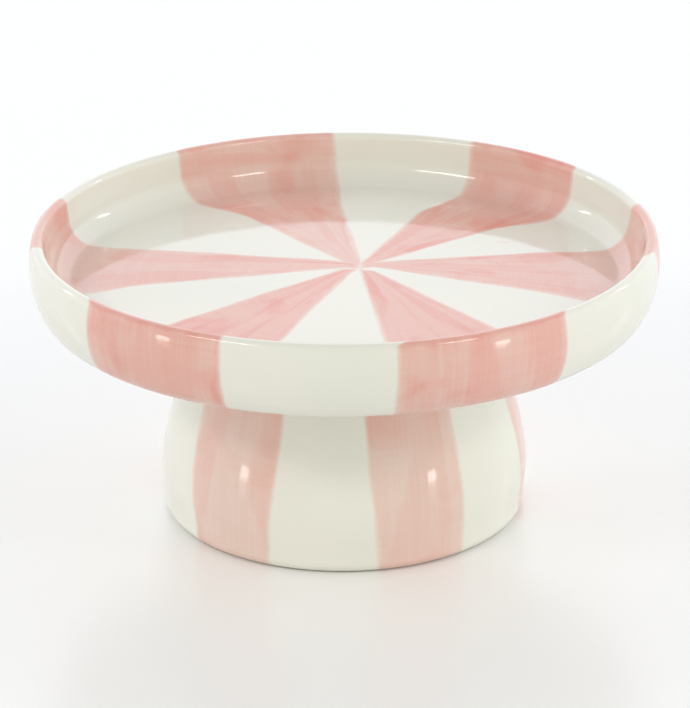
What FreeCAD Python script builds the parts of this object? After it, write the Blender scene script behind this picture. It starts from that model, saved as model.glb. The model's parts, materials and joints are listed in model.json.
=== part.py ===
import FreeCAD, Part
import math
import os

# Cake stand of hand-painted glazed ceramic: a shallow round dish luted with slip onto a hollow
# pedestal that swells towards its foot. Six broad rays of colour run from the middle of the dish's
# floor, up its wall, over the lip and down the outside, and six more run down the pedestal.
#
# Millimetres. +Z is up. The origin is on the stand's axis, in the plane that the foot rests on.
# Angles are in degrees from the front (-Y) towards the right (+X).

# Driving dimensions
DISH_DIAMETER = 280.0
OVERALL_HEIGHT = 130.0
WALL_THICKNESS = 5.6
WALL_HEIGHT = 36.0
WELL_DEPTH = 23.0
FLOOR_THICKNESS = 8.0
BELLY_RADIUS = 83.0
NECK_RADIUS = 68.0
PEDESTAL_THICKNESS = 6.0

# Dish details
DRAFT = 4.0
FLOOR_FILLET = 12.0
WALL_SWELL_HEIGHT = 118.0
WALL_SWELL_RADIUS = 38.0
LOWER_CORNER_RADIUS = 13.0
COVE_WIDTH = 17.0

# Pedestal details: the side swells from the foot to the belly, draws in through the shoulder and
# the waist, and is straight above the neck's height
FOOT_RADIUS = 82.0
BELLY_HEIGHT = 21.0
SHOULDER_HEIGHT = 33.0
SHOULDER_RADIUS = 81.4
WAIST_HEIGHT = 47.0
WAIST_RADIUS = 78.0
NECK_HEIGHT = 88.0
FOOT_ROUND = 5.0
FOOT_RING_INNER_RADIUS = 69.5
FOOT_RING_HEIGHT = 8.0
FOOT_INNER_ROUND = 2.0

# Slip that joins the two clay pieces
SLIP_THICKNESS = 0.8
OUTER_BEAD = 5.0
INNER_BEAD = 4.0

# Painted colour: thickness of the layer, where the rays meet, and the two edges of each stripe.
# The stripes are painted freehand, so neither their widths nor their gaps are equal.
PAINT_THICKNESS = 0.4
RAY_CENTRE_X = 6.5
RAY_CENTRE_Y = 10.5
RAY_TIP_GAP = 3.0
DISH_STRIPE_EDGES = [(-50, -22), (7, 38), (71, 102), (130, 158), (182, 217), (252, 281)]
PEDESTAL_STRIPE_EDGES = [(-53, -22), (8, 37), (73, 101), (129, 157), (184, 212), (239, 266)]
BARE_FOOT_HEIGHT = 1.2

# Worked out from the above
DISH_RADIUS = DISH_DIAMETER / 2
FLOOR_TOP = OVERALL_HEIGHT - WELL_DEPTH
UNDERSIDE = FLOOR_TOP - FLOOR_THICKNESS
DISH_BOTTOM = OVERALL_HEIGHT - WALL_HEIGHT
PEDESTAL_TOP = UNDERSIDE - SLIP_THICKNESS
NECK_BORE = NECK_RADIUS - PEDESTAL_THICKNESS
LIP_RADIUS = WALL_THICKNESS / 2
BEYOND = 2 * DISH_DIAMETER


def at(radius, height):
    return FreeCAD.Vector(radius, 0, height)


def on_circle(centre, radius, angle):
    turn = math.radians(angle)
    return centre + at(radius * math.cos(turn), radius * math.sin(turn))


def line(start, end):
    return Part.LineSegment(start, end).toShape()


def arc(centre, radius, start, end):
    points = [on_circle(centre, radius, angle) for angle in (start, (start + end) / 2, end)]
    return Part.Arc(*points).toShape()


def ease(start, end):
    """An S-shaped edge that leaves start and reaches end level."""
    middle = (start.x + end.x) / 2
    curve = Part.BezierCurve()
    curve.setPoles([start, at(middle, start.z), at(middle, end.z), end])
    return curve.toShape()


def ease_upright(start, end):
    """An S-shaped edge that leaves start and reaches end upright."""
    middle = (start.z + end.z) / 2
    curve = Part.BezierCurve()
    curve.setPoles([start, at(start.x, middle), at(end.x, middle), end])
    return curve.toShape()


def turned(edges):
    """The solid of revolution of a closed outline drawn in the XZ plane."""
    outline = Part.Wire(edges)
    return Part.Face(outline).revolve(FreeCAD.Vector(), FreeCAD.Vector(0, 0, 1), 360)


# Circles that the dish's section is made of. The outer wall is one large arc, and the lip and the
# lower corner are smaller arcs that lie inside it and touch it.

SWELL_CENTRE = at(DISH_RADIUS - WALL_SWELL_RADIUS, WALL_SWELL_HEIGHT)


def inside_swell(radius, height):
    """Centre and angle of a circle at this height that touches the outer wall from inside."""
    reach = WALL_SWELL_RADIUS - radius
    rise = height - WALL_SWELL_HEIGHT
    angle = math.degrees(math.asin(rise / reach))
    return on_circle(SWELL_CENTRE, reach, angle), angle


LIP_CENTRE, LIP_ANGLE = inside_swell(LIP_RADIUS, OVERALL_HEIGHT - LIP_RADIUS)
CORNER_CENTRE, CORNER_ANGLE = inside_swell(LOWER_CORNER_RADIUS, DISH_BOTTOM + LOWER_CORNER_RADIUS)


def floor_fillet_centre():
    """Centre of the circle that touches both the floor and the drafted inner wall."""
    wall_top = on_circle(LIP_CENTRE, LIP_RADIUS, 180 - DRAFT)
    from_wall = on_circle(FreeCAD.Vector(), FLOOR_FILLET, 180 - DRAFT)
    height = FLOOR_TOP + FLOOR_FILLET
    drop = wall_top.z - (height - from_wall.z)
    wall_foot = wall_top.x - drop * math.tan(math.radians(DRAFT))
    return at(wall_foot + from_wall.x, height)


def dish_painted_side(inset):
    """Floor, inner wall, lip, outer wall and lower corner, moved into the clay by inset."""
    fillet = floor_fillet_centre()
    level = FLOOR_TOP - inset
    wall_foot = on_circle(fillet, FLOOR_FILLET + inset, -DRAFT)
    wall_top = on_circle(LIP_CENTRE, LIP_RADIUS - inset, 180 - DRAFT)
    return [
        line(at(0, level), at(fillet.x, level)),
        arc(fillet, FLOOR_FILLET + inset, -90, -DRAFT),
        line(wall_foot, wall_top),
        arc(LIP_CENTRE, LIP_RADIUS - inset, 180 - DRAFT, LIP_ANGLE),
        arc(SWELL_CENTRE, WALL_SWELL_RADIUS - inset, LIP_ANGLE, CORNER_ANGLE),
        arc(CORNER_CENTRE, LOWER_CORNER_RADIUS - inset, CORNER_ANGLE, -90),
    ]


def dish_underside(inset):
    """From the lower corner in to the axis: a step of the paint's depth, a cove, then flat."""
    corner_foot = at(CORNER_CENTRE.x, DISH_BOTTOM)
    cove_end = at(CORNER_CENTRE.x - COVE_WIDTH, UNDERSIDE)
    edges = []
    if inset > 0:
        edges.append(line(at(CORNER_CENTRE.x, DISH_BOTTOM + inset), corner_foot))
    edges.append(ease(corner_foot, cove_end))
    edges.append(line(cove_end, at(0, UNDERSIDE)))
    edges.append(line(at(0, UNDERSIDE), at(0, FLOOR_TOP - inset)))
    return edges


def dish_body(inset):
    """The dish, with its painted side moved into the clay by inset."""
    return turned(dish_painted_side(inset) + dish_underside(inset))


# The pedestal's section. Its outer and inner faces follow the same curve, a wall's thickness apart.

def side_curve(inset):
    """The curve from belly to neck, as a shape that starts and ends upright."""
    points = [
        at(BELLY_RADIUS - inset, BELLY_HEIGHT),
        at(SHOULDER_RADIUS - inset, SHOULDER_HEIGHT),
        at(WAIST_RADIUS - inset, WAIST_HEIGHT),
        at(NECK_RADIUS - inset, NECK_HEIGHT),
    ]
    curve = Part.BSplineCurve()
    upright = FreeCAD.Vector(0, 0, 1)
    curve.interpolate(Points=points, InitialTangent=upright, FinalTangent=upright)
    return curve.toShape()


def pedestal_outer_side(inset):
    foot_centre = at(FOOT_RADIUS - FOOT_ROUND, FOOT_ROUND)
    return [
        arc(foot_centre, FOOT_ROUND - inset, -90, 0),
        ease_upright(at(FOOT_RADIUS - inset, FOOT_ROUND), at(BELLY_RADIUS - inset, BELLY_HEIGHT)),
        side_curve(inset),
        line(at(NECK_RADIUS - inset, NECK_HEIGHT), at(NECK_RADIUS - inset, PEDESTAL_TOP)),
    ]


def pedestal_inner_side():
    """From the top, down the hollow to the thick foot ring and its rounded inner edge."""
    belly_bore = BELLY_RADIUS - PEDESTAL_THICKNESS
    ring_top = at(FOOT_RING_INNER_RADIUS, FOOT_RING_HEIGHT)
    round_centre = at(FOOT_RING_INNER_RADIUS + FOOT_INNER_ROUND, FOOT_INNER_ROUND)
    return [
        line(at(NECK_BORE, PEDESTAL_TOP), at(NECK_BORE, NECK_HEIGHT)),
        side_curve(PEDESTAL_THICKNESS),
        ease_upright(at(belly_bore, BELLY_HEIGHT), ring_top),
        line(ring_top, at(FOOT_RING_INNER_RADIUS, FOOT_INNER_ROUND)),
        arc(round_centre, FOOT_INNER_ROUND, 180, 270),
    ]


def pedestal_body(inset):
    """The hollow pedestal, with its outer side moved into the clay by inset."""
    ring_inner = at(FOOT_RING_INNER_RADIUS + FOOT_INNER_ROUND, 0)
    ring_outer = at(FOOT_RADIUS - FOOT_ROUND, 0)
    edges = [line(ring_inner, ring_outer)]
    if inset > 0:
        edges.append(line(ring_outer, at(ring_outer.x, inset)))
    edges += pedestal_outer_side(inset)
    edges.append(line(at(NECK_RADIUS - inset, PEDESTAL_TOP), at(NECK_BORE, PEDESTAL_TOP)))
    return turned(edges + pedestal_inner_side())


# Slip between and around the two clay pieces

def slip_ring():
    outer = Part.makeCylinder(NECK_RADIUS, SLIP_THICKNESS, at(0, PEDESTAL_TOP))
    return outer.cut(Part.makeCylinder(NECK_BORE, SLIP_THICKNESS, at(0, PEDESTAL_TOP)))


def slip_bead(corner_radius, size, outwards):
    """A ring that fills the corner under the dish, hollowed by a quarter circle."""
    side = 1 if outwards else -1
    corner = at(corner_radius, UNDERSIDE)
    low = at(corner_radius, UNDERSIDE - size)
    far = at(corner_radius + side * size, UNDERSIDE)
    centre = at(corner_radius + side * size, UNDERSIDE - size)
    hollow = arc(centre, size, 180, 90) if outwards else arc(centre, size, 0, 90)
    return turned([line(corner, low), hollow, line(far, corner)])


# Painted stripes

def direction(angle):
    turn = math.radians(angle)
    return FreeCAD.Vector(math.sin(turn), -math.cos(turn), 0)


def ray(centre, edges, tip_gap):
    """An upright prism that covers one stripe, cut short of the point where the rays meet."""
    left, right = direction(edges[0]), direction(edges[1])
    corners = [centre + left * tip_gap, centre + left * BEYOND,
               centre + right * BEYOND, centre + right * tip_gap]
    outline = Part.makePolygon(corners + corners[:1])
    return Part.Face(outline).extrude(FreeCAD.Vector(0, 0, OVERALL_HEIGHT + 1))


def dish_stripes():
    layer = dish_body(0).cut(dish_body(PAINT_THICKNESS))
    centre = FreeCAD.Vector(RAY_CENTRE_X, RAY_CENTRE_Y, 0)
    return [layer.common(ray(centre, edges, RAY_TIP_GAP)) for edges in DISH_STRIPE_EDGES]


def pedestal_stripes():
    height = UNDERSIDE - OUTER_BEAD - BARE_FOOT_HEIGHT
    glazed = Part.makeCylinder(DISH_RADIUS, height, at(0, BARE_FOOT_HEIGHT))
    layer = pedestal_body(0).cut(pedestal_body(PAINT_THICKNESS)).common(glazed)
    centre = FreeCAD.Vector()
    return [layer.common(ray(centre, edges, RAY_TIP_GAP)) for edges in PEDESTAL_STRIPE_EDGES]


def without(body, pieces):
    for piece in pieces:
        body = body.cut(piece)
    return body


def numbered(name, pieces):
    return {f"{name}_{number}": piece for number, piece in enumerate(pieces, start=1)}


def main():
    dish_paint = dish_stripes()
    pedestal_paint = pedestal_stripes()
    parts = {
        "dish": without(dish_body(0), dish_paint),
        "pedestal": without(pedestal_body(0), pedestal_paint),
        "slip_joint": slip_ring(),
        "outer_slip_bead": slip_bead(NECK_RADIUS, OUTER_BEAD, True),
        "inner_slip_bead": slip_bead(NECK_BORE, INNER_BEAD, False),
        **numbered("dish_stripe", dish_paint),
        **numbered("pedestal_stripe", pedestal_paint),
    }
    os.makedirs("parts", exist_ok=True)
    for name, shape in parts.items():
        if len(shape.Solids) != 1:
            raise ValueError(f"{name} has {len(shape.Solids)} solids")
        shape.Solids[0].exportStep(f"parts/{name}.step")


main()
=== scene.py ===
import json
import math

import bpy
import numpy as np
from mathutils import Matrix, Vector


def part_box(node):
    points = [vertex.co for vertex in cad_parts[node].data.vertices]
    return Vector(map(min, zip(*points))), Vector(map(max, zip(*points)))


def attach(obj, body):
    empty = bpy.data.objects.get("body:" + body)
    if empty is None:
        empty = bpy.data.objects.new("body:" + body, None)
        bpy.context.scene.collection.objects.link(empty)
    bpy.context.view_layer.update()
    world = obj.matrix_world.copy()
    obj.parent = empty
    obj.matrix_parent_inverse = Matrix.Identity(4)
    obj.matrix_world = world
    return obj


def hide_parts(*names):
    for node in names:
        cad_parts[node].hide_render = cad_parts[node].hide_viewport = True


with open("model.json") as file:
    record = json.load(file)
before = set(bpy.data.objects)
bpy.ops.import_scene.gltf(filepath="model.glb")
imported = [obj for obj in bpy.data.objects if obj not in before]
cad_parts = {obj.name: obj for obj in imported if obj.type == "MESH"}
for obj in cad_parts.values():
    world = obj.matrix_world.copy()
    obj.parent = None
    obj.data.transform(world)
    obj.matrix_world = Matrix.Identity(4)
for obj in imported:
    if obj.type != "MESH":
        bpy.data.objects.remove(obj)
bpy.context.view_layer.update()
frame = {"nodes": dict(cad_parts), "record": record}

# Cake stand: two glazed clay pieces with freehand pink stripes. Metres, +Z up, -Y is the front.
# Angles on the stand are in degrees from the front towards +X.

# ---------------------------------------------------------------- sizes taken from the frame

MM = 0.001
DISH_LOW, DISH_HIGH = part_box("dish")
_, PEDESTAL_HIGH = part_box("pedestal")
SLIP_LOW, SLIP_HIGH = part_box("slip_joint")
OUTER_BEAD_LOW, OUTER_BEAD_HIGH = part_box("outer_slip_bead")
INNER_BEAD_LOW, INNER_BEAD_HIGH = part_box("inner_slip_bead")
MOUNTS = {mount["name"]: Vector(mount["pos_m"]) for mount in frame["record"]["mounts"]}

BOX_MARGIN = 0.05 * MM
RIM_RADIUS = min(DISH_HIGH.x, DISH_HIGH.y, -DISH_LOW.x, -DISH_LOW.y) - BOX_MARGIN
RIM_HEIGHT = DISH_HIGH.z
DISH_BOTTOM = DISH_LOW.z
FLOOR_TOP = MOUNTS["cake_surface"].z
UNDERSIDE = SLIP_HIGH.z
NECK_RADIUS = SLIP_HIGH.x
NECK_BORE = INNER_BEAD_HIGH.x
BELLY_RADIUS = PEDESTAL_HIGH.x
PEDESTAL_WALL = NECK_RADIUS - NECK_BORE
OUTER_BEAD = OUTER_BEAD_HIGH.z - OUTER_BEAD_LOW.z
INNER_BEAD = INNER_BEAD_HIGH.z - INNER_BEAD_LOW.z

# Dish section
LIP_RADIUS = 2.8 * MM
DRAFT = math.radians(4)
FLOOR_FILLET = 12 * MM
WALL_SWELL_HEIGHT = 118 * MM
WALL_SWELL_RADIUS = 38 * MM
LOWER_CORNER_RADIUS = 13 * MM
COVE_WIDTH = 17 * MM

# Pedestal section. SHOULDER and WAIST are a radius and a height. The foot draws in under the belly.
FOOT_DRAW_IN = 1.0 * MM
FOOT_RADIUS = BELLY_RADIUS - FOOT_DRAW_IN
BELLY_HEIGHT = 21 * MM
SHOULDER = (81.4 * MM, 33 * MM)
WAIST = (78 * MM, 47 * MM)
NECK_HEIGHT = 88 * MM
FOOT_ROUND = 5 * MM
FOOT_RING_INNER_RADIUS = 69.5 * MM
FOOT_RING_HEIGHT = 8 * MM
FOOT_INNER_ROUND = 2 * MM
BARE_FOOT = 0.9 * MM

# How far the hand-made surfaces wander from round
OUT_OF_ROUND = 0.12 * MM
WALL_WOBBLE = 0.12 * MM
LIP_WAVE = 0.35 * MM
PEDESTAL_UNEVENNESS = 0.15 * MM
WALL_STARTS = 110 * MM
WALL_REACH = 30 * MM
FOOT_STAYS_ROUND = 30 * MM
NECK_STAYS_ROUND = 20 * MM
# Metres the pedestal's axis moves sideways for each metre down
LEAN = 0.007

# How finely the meshes are divided
TURNS = 384
STEP = 1.1 * MM
DOUBLED = 0.02 * MM
SIDE_STEPS = 60
BEAD_STEPS = 12


# ---------------------------------------------------------------- sections, as lists of (radius, height)

def arc(centre, radius, start, end):
    """Points on an arc, angles in radians, about one step apart."""
    count = max(4, int(abs(end - start) * radius / STEP) + 1)
    turn = np.linspace(start, end, count)
    return [(centre[0] + radius * math.cos(t), centre[1] + radius * math.sin(t)) for t in turn]


def straight(start, end):
    count = max(2, int(math.dist(start, end) / STEP) + 1)
    return [tuple(p) for p in np.linspace(start, end, count)]


def ease(start, end, level):
    """An S-curve that leaves start and reaches end level, or upright if level is false."""
    count = max(6, int(math.dist(start, end) / STEP) + 1)
    points = []
    for t in np.linspace(0, 1, count):
        blend = 3 * t * t - 2 * t * t * t
        if level:
            points.append((start[0] + (end[0] - start[0]) * t, start[1] + (end[1] - start[1]) * blend))
        else:
            points.append((start[0] + (end[0] - start[0]) * blend, start[1] + (end[1] - start[1]) * t))
    return points


def joined(*stretches):
    """One list of points out of several that meet end to end, without the doubled ends."""
    points = []
    for stretch in stretches:
        for point in stretch:
            if not points or math.dist(points[-1], point) > DOUBLED:
                points.append(point)
    return points


def inside_swell(radius, height):
    """Centre and angle of a circle at this height that touches the outer wall from inside."""
    reach = WALL_SWELL_RADIUS - radius
    angle = math.asin((height - WALL_SWELL_HEIGHT) / reach)
    centre_radius = RIM_RADIUS - WALL_SWELL_RADIUS + reach * math.cos(angle)
    return (centre_radius, height), angle


def dish_section():
    """From the middle of the floor out, over the lip, down, and in along the underside."""
    lip, lip_angle = inside_swell(LIP_RADIUS, RIM_HEIGHT - LIP_RADIUS)
    corner, corner_angle = inside_swell(LOWER_CORNER_RADIUS, DISH_BOTTOM + LOWER_CORNER_RADIUS)
    wall_top = (lip[0] - LIP_RADIUS * math.cos(DRAFT), lip[1] + LIP_RADIUS * math.sin(DRAFT))
    fillet_height = FLOOR_TOP + FLOOR_FILLET
    wall_foot_height = fillet_height - FLOOR_FILLET * math.sin(DRAFT)
    wall_foot_radius = wall_top[0] - (wall_top[1] - wall_foot_height) * math.tan(DRAFT)
    fillet = (wall_foot_radius - FLOOR_FILLET * math.cos(DRAFT), fillet_height)
    swell = (RIM_RADIUS - WALL_SWELL_RADIUS, WALL_SWELL_HEIGHT)
    corner_foot = (corner[0], DISH_BOTTOM)
    cove_end = (corner[0] - COVE_WIDTH, UNDERSIDE)
    return joined(
        straight((0, FLOOR_TOP), (fillet[0], FLOOR_TOP)),
        arc(fillet, FLOOR_FILLET, -math.pi / 2, -DRAFT),
        straight((wall_foot_radius, wall_foot_height), wall_top),
        arc(lip, LIP_RADIUS, math.pi - DRAFT, lip_angle),
        arc(swell, WALL_SWELL_RADIUS, lip_angle, corner_angle),
        arc(corner, LOWER_CORNER_RADIUS, corner_angle, -math.pi / 2),
        ease(corner_foot, cove_end, level=True),
        straight(cove_end, (0, UNDERSIDE)),
    )


def pedestal_side(inset):
    """From the neck down to the belly: a smooth spline through four points, upright at its ends."""
    heights = np.array([BELLY_HEIGHT, SHOULDER[1], WAIST[1], NECK_HEIGHT])
    radii = np.array([BELLY_RADIUS, SHOULDER[0], WAIST[0], NECK_RADIUS]) - inset
    spans = np.diff(heights)
    steepness = np.diff(radii) / spans ** 2
    balance = [[2 / spans[0] + 2 / spans[1], 1 / spans[1]], [1 / spans[1], 2 / spans[1] + 2 / spans[2]]]
    slopes = np.zeros(4)
    slopes[1:3] = np.linalg.solve(balance, 3 * (steepness[:2] + steepness[1:]))
    points = []
    for z in np.linspace(NECK_HEIGHT, BELLY_HEIGHT, SIDE_STEPS):
        k = min(2, max(0, int(np.searchsorted(heights, z) - 1)))
        span = heights[k + 1] - heights[k]
        t = (z - heights[k]) / span
        r = (radii[k] * (1 + 2 * t) * (1 - t) ** 2 + slopes[k] * span * t * (1 - t) ** 2
             + radii[k + 1] * t * t * (3 - 2 * t) + slopes[k + 1] * span * t * t * (t - 1))
        points.append((r, z))
    return points


def pedestal_section():
    """From the inner top edge over the top, down outside, round the foot and up inside."""
    top = SLIP_LOW.z
    foot = (FOOT_RADIUS - FOOT_ROUND, FOOT_ROUND)
    inner_round = (FOOT_RING_INNER_RADIUS + FOOT_INNER_ROUND, FOOT_INNER_ROUND)
    belly_bore = BELLY_RADIUS - PEDESTAL_WALL
    outside = joined(
        straight((NECK_BORE, top), (NECK_RADIUS, top)),
        straight((NECK_RADIUS, top), (NECK_RADIUS, NECK_HEIGHT)),
        pedestal_side(0),
        ease((BELLY_RADIUS, BELLY_HEIGHT), (FOOT_RADIUS, FOOT_ROUND), level=False),
        arc(foot, FOOT_ROUND, 0, -math.pi / 2),
        straight((foot[0], 0), (inner_round[0], 0)),
    )
    inside = joined(
        arc(inner_round, FOOT_INNER_ROUND, -math.pi / 2, -math.pi),
        straight((FOOT_RING_INNER_RADIUS, FOOT_INNER_ROUND), (FOOT_RING_INNER_RADIUS, FOOT_RING_HEIGHT)),
        ease((FOOT_RING_INNER_RADIUS, FOOT_RING_HEIGHT), (belly_bore, BELLY_HEIGHT), level=False),
        pedestal_side(PEDESTAL_WALL)[::-1],
        straight((NECK_BORE, NECK_HEIGHT), (NECK_BORE, top)),
    )
    return joined(outside, inside)[:-1]


def bead_section(radius, size, outwards):
    """A concave fillet of slip in the corner between the pedestal's wall and the dish."""
    side = 1 if outwards else -1
    turn = np.linspace(0, math.pi / 2, BEAD_STEPS)
    hollow = [(radius + side * size * (1 - math.cos(t)), UNDERSIDE - size * (1 - math.sin(t))) for t in turn]
    back = [(radius + side * size * 0.5, UNDERSIDE), (radius, UNDERSIDE), (radius, UNDERSIDE - size * 0.5)]
    return hollow + back


# ---------------------------------------------------------------- turned meshes, a little uneven

def ripple(angle, seed, orders, size):
    """A smooth closed unevenness round the stand, between -size and size."""
    dice = np.random.default_rng(seed)
    total = np.zeros_like(angle)
    weight = 0.0
    for order in orders:
        share = 1.0 / order
        total += share * np.cos(order * angle + dice.uniform(0, 2 * math.pi))
        weight += share
    return size * total / weight


def turned_mesh(name, section, closed, move):
    """Turns a section round Z into a mesh. move(radius, height, angle) makes it uneven."""
    section = np.array(section)
    angle = np.linspace(0, 2 * math.pi, TURNS, endpoint=False)
    on_axis = section[:, 0] < 1e-9
    rings, vertices, path = [], [], []
    length = np.concatenate([[0], np.cumsum(np.hypot(*np.diff(section, axis=0).T))])
    for (radius, height), axis, along in zip(section, on_axis, length):
        spin = angle[:1] if axis else angle
        r, z, x_shift = move(np.full(len(spin), radius), np.full(len(spin), height), spin)
        rings.append((len(vertices), len(spin)))
        for a, rr, zz, dx in zip(spin, r, z, x_shift):
            vertices.append((rr * math.sin(a) + dx, -rr * math.cos(a), zz))
            path.append(along)
    faces = []
    pairs = list(zip(rings[:-1], rings[1:]))
    if closed:
        pairs.append((rings[-1], rings[0]))
    for (first, n_first), (second, n_second) in pairs:
        for k in range(TURNS):
            j = (k + 1) % TURNS
            if n_first == 1:
                faces.append((first, second + k, second + j))
            elif n_second == 1:
                faces.append((first + j, first + k, second))
            else:
                faces.append((first + j, first + k, second + k, second + j))
    mesh = bpy.data.meshes.new(name)
    mesh.from_pydata(vertices, [], faces)
    mesh.validate()
    mesh.update()
    mesh.polygons.foreach_set("use_smooth", np.ones(len(mesh.polygons), bool))
    piece = bpy.data.objects.new(name, mesh)
    bpy.context.scene.collection.objects.link(piece)
    return piece, np.array(vertices), np.array(path)


def dish_unevenness(radius, height, angle):
    """The wall isn't quite round, it leans in and out a little, and the lip waves."""
    wall = np.clip((radius - WALL_STARTS) / WALL_REACH, 0, 1) ** 2
    rise = np.clip((height - UNDERSIDE) / (RIM_HEIGHT - UNDERSIDE), 0, 1)
    out_of_round = ripple(angle, 3, (2, 3), OUT_OF_ROUND) - OUT_OF_ROUND
    wobble = ripple(angle, 5, (4, 5, 7, 11), WALL_WOBBLE) - WALL_WOBBLE
    lip_wave = ripple(angle, 8, (2, 3, 5), LIP_WAVE) - LIP_WAVE
    r = radius + wall * out_of_round + wall * rise * wobble
    z = height + wall * rise * lip_wave
    return r, z, np.zeros_like(angle)


def pedestal_unevenness(radius, height, angle):
    """The foot stands a fraction off the dish's axis, and the side isn't quite round."""
    above_foot = np.clip(height / FOOT_STAYS_ROUND, 0, 1)
    below_dish = np.clip((UNDERSIDE - height) / NECK_STAYS_ROUND, 0, 1)
    uneven = ripple(angle, 11, (2, 3, 4, 6), PEDESTAL_UNEVENNESS) - PEDESTAL_UNEVENNESS
    return radius + above_foot * below_dish * uneven, height, -LEAN * (UNDERSIDE - height)


def left_round(radius, height, angle):
    """For the slip beads, which stay as they were turned."""
    return radius, height, np.zeros_like(angle)


# ---------------------------------------------------------------- where the stripes are painted

# The middle that the rays are painted from, and each stripe's two edges. The floor, the inside of
# the wall and the outside were painted as separate strokes, so their edges don't quite line up.
RAY_CENTRE = (6.5 * MM, 10.5 * MM)
RAY_EDGES = [(-52, -21.6), (6.8, 39), (69, 103.5), (129, 159), (185, 216.5), (253, 281)]
WALL_FOOT = [(-51, -22), (7, 38), (66.5, 101.2), (125, 154), (184.5, 220.5), (255.5, 284)]
WALL_TOP = [(-51, -22), (7.5, 38), (69, 99), (124.6, 153.6), (185, 221), (256.4, 283)]
OUTER_WALL = [(-51, -21.5), (8.7, 41.5), (78, 103.5), (130, 155), (182, 213.5), (251.5, 278)]
PEDESTAL_FOOT = [(-53, -23.5), (10, 39.5), (72.5, 101), (129, 157), (184, 212), (239, 266)]
PEDESTAL_NECK = [(-58, -21.5), (7, 39.5), (72.5, 101), (129, 157), (184, 212), (237, 266)]
STRIPES_REACH_NECK = 68 * MM

# How much paint the brush held for each stripe.
DISH_PAINT_LOAD = [1.22, 1.2, 1.08, 1.22, 0.95, 1.08]
FLOOR_EXTRA_PAINT = 0.28

# The brush lands beside the middle, so each ray's two edges pass it at a distance, in millimetres.
RAY_SIDESTEP = [(5.5, -1.5), (0, 4.6), (-5, 8.5), (-1.5, 2), (2.4, 0.5), (9, -2.5)]
SIDESTEP_RADIUS = 85 * MM
RAY_BLOT = 7 * MM

# Where the rays hand over to the wall's strokes, by radius; where those end and the outside's begin,
# before and after the lip's top; and how far below the lip the brush went round instead of up.
WALL_STROKES = (88 * MM, 119 * MM)
OVER_LIP = (-1.5 * MM, 2.5 * MM)
ROUND_STROKES = (-22 * MM, -12 * MM)
PAST_CORNER = 2 * MM

# The pedestal was painted thinner than the dish. Towards the top of its stripes, under the dish, the pink is
# deepened as painted shade.
PEDESTAL_PAINT_LOAD = 0.72
TOP_PAINTED_SHADE = 0.25
PAINTED_SHADE_HEIGHTS = (48 * MM, 70 * MM)
# Not inside any stripe
UNPAINTED = -0.01
# No lip near
FAR_FROM_LIP = 1.0


def stripe_edges(x, y, centre, stripes, sidestep=None):
    """How far inside a stripe each point is, in metres (negative outside), and the stripe's
    number and the angle from its middle line."""
    dx, dy = x - centre[0], y - centre[1]
    angle = np.degrees(np.arctan2(dx, -dy))
    radius = np.hypot(dx, dy)
    turn = np.degrees(MM / np.maximum(radius, RAY_BLOT) - MM / SIDESTEP_RADIUS)
    best = np.full(len(x), -1.0)
    number = np.zeros(len(x))
    offset = np.zeros(len(x))
    for index, (left, right) in enumerate(stripes):
        wide_left, wide_right = sidestep[index] if sidestep else (0, 0)
        left = left - wide_left * turn
        right = right + wide_right * turn
        middle, half = (left + right) / 2, (right - left) / 2
        away = (angle - middle + 180) % 360 - 180
        inside = np.radians(half - np.abs(away)) * radius
        better = inside > best
        best = np.where(better, inside, best)
        number = np.where(better, index, number)
        offset = np.where(better, np.radians(away), offset)
    return best, number, offset


def soft_step(low, high, value):
    t = np.clip((value - low) / (high - low), 0, 1)
    return t * t * (3 - 2 * t)


def store(mesh, name, values):
    kind = "FLOAT_VECTOR" if values.ndim == 2 else "FLOAT"
    layer = mesh.attributes.new(name, kind, "POINT")
    layer.data.foreach_set("vector" if values.ndim == 2 else "value", values.astype(np.float32).ravel())


def paint_dish(piece, points, path, section):
    """Stores how deep inside a stripe each vertex is, and where the brush went."""
    x, y, z = points.T
    radius = np.hypot(x, y)
    lip_path = path_at(section, lambda r, h: h)
    corner_path = path_at(section, lambda r, h: -h - 1e-3 * r)
    floor, number, offset = stripe_edges(x, y, RAY_CENTRE, RAY_EDGES, RAY_SIDESTEP)
    wall_foot, _, _ = stripe_edges(x, y, RAY_CENTRE, WALL_FOOT)
    wall_top, _, _ = stripe_edges(x, y, RAY_CENTRE, WALL_TOP)
    rise = soft_step(FLOOR_TOP, RIM_HEIGHT, z)
    wall = wall_foot * (1 - rise) + wall_top * rise
    outside, outer_number, outer_offset = stripe_edges(x, y, (0, 0), OUTER_WALL)
    climb = soft_step(*WALL_STROKES, radius)
    over = soft_step(*OVER_LIP, path - lip_path)
    edge = floor * (1 - climb) + wall * climb
    edge = edge * (1 - over) + outside * over
    edge = np.where(path > lip_path, np.minimum(edge, corner_path + PAST_CORNER - path), edge)
    outer = path > lip_path
    number = np.where(outer, outer_number + 6, number)
    offset = np.where(outer, outer_offset, offset)
    store(piece.data, "stripe_edge", edge)
    store(piece.data, "brush", np.column_stack([path, offset * RIM_RADIUS, number * 0.37]))
    store(piece.data, "from_lip", np.abs(path - lip_path))
    store(piece.data, "glazed", np.ones(len(x)))
    floor_extra = 1 + FLOOR_EXTRA_PAINT * (1 - climb)
    store(piece.data, "paint_load", np.array(DISH_PAINT_LOAD)[number.astype(int) % 6] * floor_extra)
    store(piece.data, "wall", soft_step(*ROUND_STROKES, path - lip_path) * (path < lip_path))


def path_at(section, score):
    """Length along a section to its point with the highest score."""
    points = np.array(section)
    length = np.concatenate([[0], np.cumsum(np.hypot(*np.diff(points, axis=0).T))])
    return length[int(np.argmax([score(r, h) for r, h in points]))]


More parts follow.
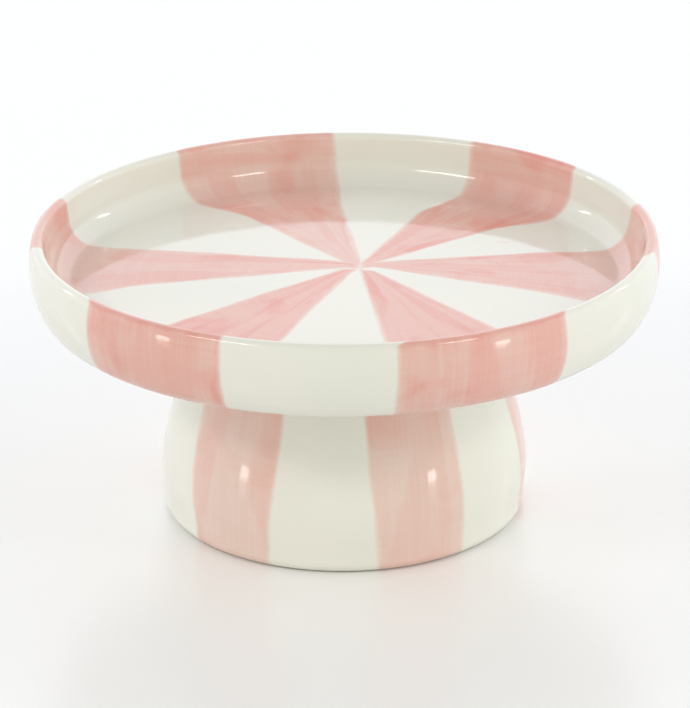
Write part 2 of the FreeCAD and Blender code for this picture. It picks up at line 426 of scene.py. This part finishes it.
def paint_pedestal(piece, points, path, section):
    x, y, z = points.T
    lean = -LEAN * (UNDERSIDE - z)
    x = x - lean
    low, number, offset = stripe_edges(x, y, (0, 0), PEDESTAL_FOOT)
    high, _, _ = stripe_edges(x, y, (0, 0), PEDESTAL_NECK)
    rise = soft_step(0, STRIPES_REACH_NECK, z)
    edge = low * (1 - rise) + high * rise
    foot_path = path_at(section, lambda r, h: r - 1000 * h)
    edge = np.where(path > foot_path, UNPAINTED, edge)
    store(piece.data, "stripe_edge", edge)
    store(piece.data, "brush", np.column_stack([z, offset * NECK_RADIUS, number * 0.37 + 7]))
    store(piece.data, "from_lip", np.full(len(x), FAR_FROM_LIP))
    store(piece.data, "glazed", z / BARE_FOOT)
    # Deeper pink towards the top of the pedestal's stripes: painted shade under the dish.
    store(piece.data, "paint_load", PEDESTAL_PAINT_LOAD + TOP_PAINTED_SHADE * soft_step(*PAINTED_SHADE_HEIGHTS, z))
    store(piece.data, "wall", np.zeros(len(x)))


# ---------------------------------------------------------------- materials

def srgb(red, green, blue):
    """A linear colour from 0-255 screen values."""
    return [((c / 255 + 0.055) / 1.055) ** 2.4 if c > 10 else c / 255 / 12.92 for c in (red, green, blue)]


class Nodes:
    """Short calls that add shader nodes to one material and wire them."""

    def __init__(self, name):
        self.material = bpy.data.materials.new(name)
        self.material.use_nodes = True
        self.tree = self.material.node_tree
        self.tree.nodes.clear()

    def add(self, kind, **settings):
        node = self.tree.nodes.new(kind)
        for key, value in settings.items():
            setattr(node, key, value)
        return node

    def wire(self, source, socket):
        if isinstance(source, bpy.types.NodeSocket):
            self.tree.links.new(source, socket)
        else:
            socket.default_value = source

    def attribute(self, name, output="Fac"):
        return self.add("ShaderNodeAttribute", attribute_name=name).outputs[output]

    def math(self, operation, first, second):
        node = self.add("ShaderNodeMath", operation=operation)
        for value, socket in zip((first, second), node.inputs):
            self.wire(value, socket)
        return node.outputs[0]

    def range(self, value, low, high, to_low=0.0, to_high=1.0):
        node = self.add("ShaderNodeMapRange", interpolation_type="SMOOTHSTEP")
        for item, socket in zip((value, low, high, to_low, to_high), node.inputs):
            self.wire(item, socket)
        return node.outputs[0]

    def blend(self, factor, first, second):
        """A plain mix of two numbers."""
        node = self.add("ShaderNodeMix")
        for value, socket in zip((factor, first, second), (node.inputs[0], node.inputs[2], node.inputs[3])):
            self.wire(value, socket)
        return node.outputs[0]

    def strokes(self, brush, factors):
        """Long soft bands where strokes overlap."""
        overlaps = self.noise(self.scaled(brush, factors), 1.0, 2, 0.45, 0.25)
        return self.math("MULTIPLY", self.range(overlaps, 0.46, 0.58), STROKE_COATS)

    def bristles(self, brush, factors, strength):
        """Fine streaks, above and below nothing."""
        lines = self.noise(self.scaled(brush, factors), 1.0, 3, 0.6)
        return self.math("MULTIPLY", self.math("SUBTRACT", lines, 0.5), strength)

    def scaled(self, vector, factors):
        node = self.add("ShaderNodeVectorMath", operation="MULTIPLY")
        self.wire(vector, node.inputs[0])
        node.inputs[1].default_value = factors
        return node.outputs[0]

    def spot(self, place, centre, reach):
        """One inside an ellipsoid, fading to nothing at its surface."""
        shift = self.add("ShaderNodeVectorMath", operation="SUBTRACT")
        self.wire(place, shift.inputs[0])
        shift.inputs[1].default_value = centre
        size = self.add("ShaderNodeVectorMath", operation="LENGTH")
        self.wire(self.scaled(shift.outputs[0], [1 / r for r in reach]), size.inputs[0])
        return self.range(size.outputs["Value"], 1.0, 0.6)

    def noise(self, vector, scale, detail=2.0, roughness=0.5, distortion=0.0):
        node = self.add("ShaderNodeTexNoise")
        self.wire(vector, node.inputs["Vector"])
        node.inputs["Scale"].default_value = scale
        node.inputs["Detail"].default_value = detail
        node.inputs["Roughness"].default_value = roughness
        node.inputs["Distortion"].default_value = distortion
        return node.outputs["Fac"]

    def ramp(self, value, stops):
        node = self.add("ShaderNodeValToRGB")
        band = node.color_ramp
        while len(band.elements) < len(stops):
            band.elements.new(0.5)
        for element, (position, colour) in zip(band.elements, stops):
            element.position = position
            element.color = (*colour, 1)
        self.wire(value, node.inputs[0])
        return node.outputs[0]

    def mix(self, factor, first, second, blend="MIX"):
        node = self.add("ShaderNodeMix", data_type="RGBA", blend_type=blend)
        self.wire(factor, node.inputs[0])
        for value, socket in ((first, node.inputs[6]), (second, node.inputs[7])):
            if isinstance(value, bpy.types.NodeSocket):
                self.tree.links.new(value, socket)
            else:
                socket.default_value = (*value, 1)
        return node.outputs[2]

    def bump(self, height, distance):
        node = self.add("ShaderNodeBump")
        node.inputs["Strength"].default_value = 1.0
        node.inputs["Distance"].default_value = distance
        self.wire(height, node.inputs["Height"])
        return node.outputs[0]

    def finish(self, colour, roughness, normal):
        shader = self.add("ShaderNodeBsdfPrincipled")
        self.wire(colour, shader.inputs["Base Color"])
        self.wire(roughness, shader.inputs["Roughness"])
        self.wire(normal, shader.inputs["Normal"])
        shader.inputs["IOR"].default_value = GLAZE_IOR
        output = self.add("ShaderNodeOutputMaterial")
        self.tree.links.new(shader.outputs[0], output.inputs[0])
        return self.material


# Colours, and how many coats of pink each part of the brushwork adds
WHITE = (0.82, 0.81, 0.735)
CLAY = srgb(214, 203, 186)
COOL_GLAZE = srgb(236, 243, 238)
DRY_SLIP = srgb(226, 224, 214)
FULL_COAT = (0.965, 0.60, 0.575)
MOST_COATS = 2.0
BASE_COATS = 0.58
LEAST_COATS = 0.16
SECOND_COATS = 0.2
STROKE_COATS = 0.22
POOL_COATS = 0.34
GATHERED_COATS = 0.22
DAB_COATS = 0.3
# A dab of pink the painter left on the white floor
STRAY_DAB = (72.5 * MM, 43.8 * MM, FLOOR_TOP)
STRAY_DAB_REACH = (4.5 * MM, 1.3 * MM, 3 * MM)
GLAZE_IOR = 1.54
SLIP_ROUGHNESS = 0.12
BARE_ROUGHNESS = 0.75
GLAZE_ROLL = 0.10 * MM
SLIP_ROLL = 0.15 * MM
FLOOR_COLOUR = (0.92, 0.92, 0.92, 1)
FLOOR_ROUGHNESS = 0.25
FLOOR_IOR = 1.8


def pigment_stops():
    """White glaze seen through more and more pink: each further coat multiplies."""
    return [(coats / MOST_COATS, [w * c ** coats for w, c in zip(WHITE, FULL_COAT)])
            for coats in (0, 0.25, 0.5, 0.8, 1.1, 1.5, MOST_COATS)]


def painted_glaze(name):
    """White glaze over clay, with watery pink brushed on in two coats inside the stripes.
    Distances in it are millimetres."""
    n = Nodes(name)
    place = n.add("ShaderNodeTexCoord").outputs["Object"]
    brush = n.attribute("brush", "Vector")
    edge = n.math("MULTIPLY", n.attribute("stripe_edge"), 1000.0)
    from_lip = n.math("MULTIPLY", n.attribute("from_lip"), 1000.0)

    # Edge of the first coat: slow wander of the hand, and fine raggedness of the bristles.
    wander = n.math("MULTIPLY", n.math("SUBTRACT", n.noise(place, 38, 2), 0.5), 2.4)
    ragged = n.math("MULTIPLY", n.math("SUBTRACT", n.noise(place, 420, 2), 0.5), 0.6)
    hand = n.math("ADD", edge, n.math("ADD", wander, ragged))
    first = n.range(hand, -1.0, 1.8)

    # Second coat, laid a little inside the first, with its own wandering edge.
    second_wander = n.math("MULTIPLY", n.math("SUBTRACT", n.noise(brush, 60, 3, 0.6), 0.5), 8.0)
    second = n.range(n.math("ADD", edge, second_wander), 0.8, 2.8)

    # Overlapping strokes and streaks of the bristles, up and down, but round the inside of the wall.
    wall = n.attribute("wall")
    stroke = n.blend(wall, n.strokes(brush, (14, 62, 4)), n.strokes(brush, (95, 12, 4)))
    pool = n.noise(n.scaled(brush, (34, 30, 9)), 1.0, 3, 0.5, 0.5)
    pool = n.math("MULTIPLY", n.range(pool, 0.5, 0.72), POOL_COATS)
    streak = n.math("ADD", n.bristles(brush, (16, 820, 1), n.blend(wall, 0.42, 0.26)),
                    n.bristles(brush, (760, 24, 3), n.blend(wall, 0.3, 0.5)))

    # Colour that ran back from the lip and gathered under it.
    run_wander = n.math("MULTIPLY", n.math("SUBTRACT", n.noise(place, 95, 2), 0.5), 7.0)
    gathered = n.math("MULTIPLY", n.range(n.math("ADD", from_lip, run_wander), 3.6, 1.2), GATHERED_COATS)

    coats = n.math("ADD", n.math("MULTIPLY", second, SECOND_COATS), n.math("ADD", stroke, pool))
    coats = n.math("ADD", coats, n.math("ADD", streak, gathered))
    coats = n.math("MULTIPLY", n.math("ADD", coats, BASE_COATS), n.attribute("paint_load"))
    coats = n.math("MULTIPLY", n.math("MAXIMUM", coats, LEAST_COATS), first)
    dab = n.math("MULTIPLY", n.spot(place, STRAY_DAB, STRAY_DAB_REACH), DAB_COATS)
    coats = n.math("MAXIMUM", coats, dab)
    colour = n.ramp(n.math("DIVIDE", coats, MOST_COATS), pigment_stops())

    # White glaze: a faint change of tone, cooler where it is thick.
    tone = n.noise(place, 14, 2)
    colour = n.mix(n.range(tone, 0.3, 0.75, 0.0, 0.3), colour, COOL_GLAZE, "MULTIPLY")

    # The glaze stops short of the face that stands in the kiln.
    ragged_line = n.math("MULTIPLY", n.math("SUBTRACT", n.noise(place, 160, 3), 0.5), 0.8)
    glazed = n.range(n.math("ADD", n.attribute("glazed"), ragged_line), 0.45, 0.6)
    colour = n.mix(glazed, CLAY, colour)

    # The glaze levels out the brushwork, but its surface still rolls gently.
    roll = n.bump(n.noise(place, 42, 1), GLAZE_ROLL)
    roughness = n.range(n.noise(place, 60, 2), 0.3, 0.8, 0.05, 0.11)
    roughness = n.math("ADD", roughness, n.math("MULTIPLY", n.math("SUBTRACT", 1.0, glazed), BARE_ROUGHNESS))
    return n.finish(colour, roughness, roll)


def slip_glaze(name):
    n = Nodes(name)
    place = n.add("ShaderNodeTexCoord").outputs["Object"]
    colour = n.mix(n.range(n.noise(place, 90, 3), 0.3, 0.7), WHITE, DRY_SLIP)
    normal = n.bump(n.noise(place, 180, 3), SLIP_ROLL)
    return n.finish(colour, SLIP_ROUGHNESS, normal)


def floor_material():
    n = Nodes("pale_floor")
    shader = n.add("ShaderNodeBsdfPrincipled")
    shader.inputs["Base Color"].default_value = FLOOR_COLOUR
    shader.inputs["Roughness"].default_value = FLOOR_ROUGHNESS
    shader.inputs["IOR"].default_value = FLOOR_IOR
    output = n.add("ShaderNodeOutputMaterial")
    n.tree.links.new(shader.outputs[0], output.inputs[0])
    return n.material


# ---------------------------------------------------------------- the pieces

def make_dish(material):
    section = dish_section()
    piece, points, path = turned_mesh("glazed_dish", section, False, dish_unevenness)
    paint_dish(piece, points, path, section)
    piece.data.materials.append(material)
    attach(piece, "root")
    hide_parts("dish", *[f"dish_stripe_{number}" for number in range(1, 7)])


def make_pedestal(material):
    section = pedestal_section()
    piece, points, path = turned_mesh("glazed_pedestal", section, True, pedestal_unevenness)
    paint_pedestal(piece, points, path, section)
    piece.data.materials.append(material)
    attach(piece, "root")
    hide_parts("pedestal", *[f"pedestal_stripe_{number}" for number in range(1, 7)])


def make_bead(name, node, radius, size, outwards, material):
    section = bead_section(radius, size, outwards)
    piece, _, _ = turned_mesh(name, section, True, left_round)
    piece.data.materials.append(material)
    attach(piece, "root")
    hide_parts(node)


# ---------------------------------------------------------------- camera, light and floor

CAMERA_ELEVATION = math.radians(22.4)
CAMERA_DISTANCE = 1.512
CAMERA_ROLL = math.radians(-0.36)
CAMERA_AIM = Vector((0, 0, 0.063))
# Millimetres, for the larger side of the image, and a share of that side
SENSOR = 36
LENS = 171.2542
SHIFT_UP = 0.021186
CAMERA_REACH = 50

LIGHT_AIM = Vector((0, 0, 0.08))
FLOOR_REACH = 8
# Light from the studio's walls and ceiling, and where one turns into the next by direction
FRONT_LIGHT = (0.95, 0.93, 0.85)
BACK_LIGHT = (1.50, 1.52, 1.58)
TOP_LIGHT = (0.36, 0.38, 0.39)
FRONT_TO_BACK = (-0.75, 0.65)
SIDES_TO_TOP = (0.45, 0.95)


def add_camera():
    back = Vector((0, -math.cos(CAMERA_ELEVATION), math.sin(CAMERA_ELEVATION)))
    data = bpy.data.cameras.new("camera")
    data.sensor_width = SENSOR
    data.lens = LENS
    data.shift_y = SHIFT_UP
    data.clip_end = CAMERA_REACH
    camera = bpy.data.objects.new("camera", data)
    forward = -back
    right = Vector((1, 0, 0))
    up = right.cross(forward)
    turn = Matrix((right, up, back)).transposed() @ Matrix.Rotation(-CAMERA_ROLL, 3, "Z").transposed()
    camera.matrix_world = Matrix.Translation(CAMERA_AIM + back * CAMERA_DISTANCE) @ turn.to_4x4()
    bpy.context.scene.collection.objects.link(camera)
    bpy.context.scene.camera = camera


def add_light(name, azimuth, elevation, distance, width, height, power, colour, mirrored=True):
    """A soft box that faces the stand, seen in gloss if mirrored. Azimuth is from the front to +X."""
    a, e = math.radians(azimuth), math.radians(elevation)
    data = bpy.data.lights.new(name, "AREA")
    data.shape = "RECTANGLE"
    data.size, data.size_y = width, height
    data.energy = power
    data.color = colour
    lamp = bpy.data.objects.new(name, data)
    lamp.visible_camera = False
    lamp.visible_glossy = mirrored
    away = Vector((math.sin(a) * math.cos(e), -math.cos(a) * math.cos(e), math.sin(e))) * distance
    lamp.location = LIGHT_AIM + away
    lamp.rotation_euler = (-away).to_track_quat("-Z", "Y").to_euler()
    bpy.context.scene.collection.objects.link(lamp)


def add_floor():
    mesh = bpy.data.meshes.new("floor")
    size = FLOOR_REACH
    corners = [(-size, -size, 0), (size, -size, 0), (size, size, 0), (-size, size, 0)]
    mesh.from_pydata(corners, [], [(0, 1, 2, 3)])
    floor = bpy.data.objects.new("floor", mesh)
    floor.data.materials.append(floor_material())
    bpy.context.scene.collection.objects.link(floor)


def add_world():
    """A pale studio: a bright backdrop behind the stand, dimmer round the camera."""
    world = bpy.data.worlds.new("studio")
    world.use_nodes = True
    tree = world.node_tree
    background = tree.nodes["Background"]
    direction = tree.nodes.new("ShaderNodeSeparateXYZ")
    tree.links.new(tree.nodes.new("ShaderNodeTexCoord").outputs["Generated"], direction.inputs[0])
    stages = (("Y", *FRONT_TO_BACK, FRONT_LIGHT, BACK_LIGHT), ("Z", *SIDES_TO_TOP, None, TOP_LIGHT))
    colour = None
    for axis, low, high, first, second in stages:
        share = tree.nodes.new("ShaderNodeMapRange")
        share.interpolation_type = "SMOOTHSTEP"
        share.inputs[1].default_value = low
        share.inputs[2].default_value = high
        tree.links.new(direction.outputs[axis], share.inputs[0])
        mix = tree.nodes.new("ShaderNodeMix")
        mix.data_type = "RGBA"
        tree.links.new(share.outputs[0], mix.inputs[0])
        if first is None:
            tree.links.new(colour, mix.inputs[6])
        else:
            mix.inputs[6].default_value = (*first, 1)
        mix.inputs[7].default_value = (*second, 1)
        colour = mix.outputs[2]
    tree.links.new(colour, background.inputs[0])
    bpy.context.scene.world = world
    bpy.context.scene.view_settings.view_transform = "Standard"


# ---------------------------------------------------------------- the scene

add_camera()
add_world()
add_floor()
# Name, azimuth, elevation, distance, width, height, power and colour of each light
add_light("left_high_box", -47, 37, 1.7, 0.66, 0.2, 3.6, (1.0, 0.99, 0.96))
add_light("right_high_box", 44, 38, 1.7, 0.36, 0.2, 2.2, (1.0, 0.99, 0.96))
add_light("left_low_box", -63, -0.6, 1.6, 0.15, 0.11, 0.34, (1.0, 0.98, 0.94))
add_light("right_low_box", 54, -0.6, 1.6, 0.15, 0.11, 0.34, (1.0, 0.98, 0.94))
add_light("right_fill", 78, 16, 1.8, 1.6, 1.4, 4.2, (1.0, 1.0, 0.97), mirrored=False)
add_light("left_side", -117, 22, 1.8, 0.10, 0.3, 0.9, (1, 1, 1))
add_light("right_side", 117, 22, 1.8, 0.10, 0.3, 0.9, (1, 1, 1))

glaze = painted_glaze("painted_glaze")
slip = slip_glaze("joint_slip")
make_dish(glaze)
make_pedestal(glaze)
make_bead("outer_joint_bead", "outer_slip_bead", NECK_RADIUS, OUTER_BEAD, True, slip)
make_bead("inner_joint_bead", "inner_slip_bead", NECK_BORE, INNER_BEAD, False, slip)
frame["nodes"]["slip_joint"].data.materials.clear()
frame["nodes"]["slip_joint"].data.materials.append(slip)
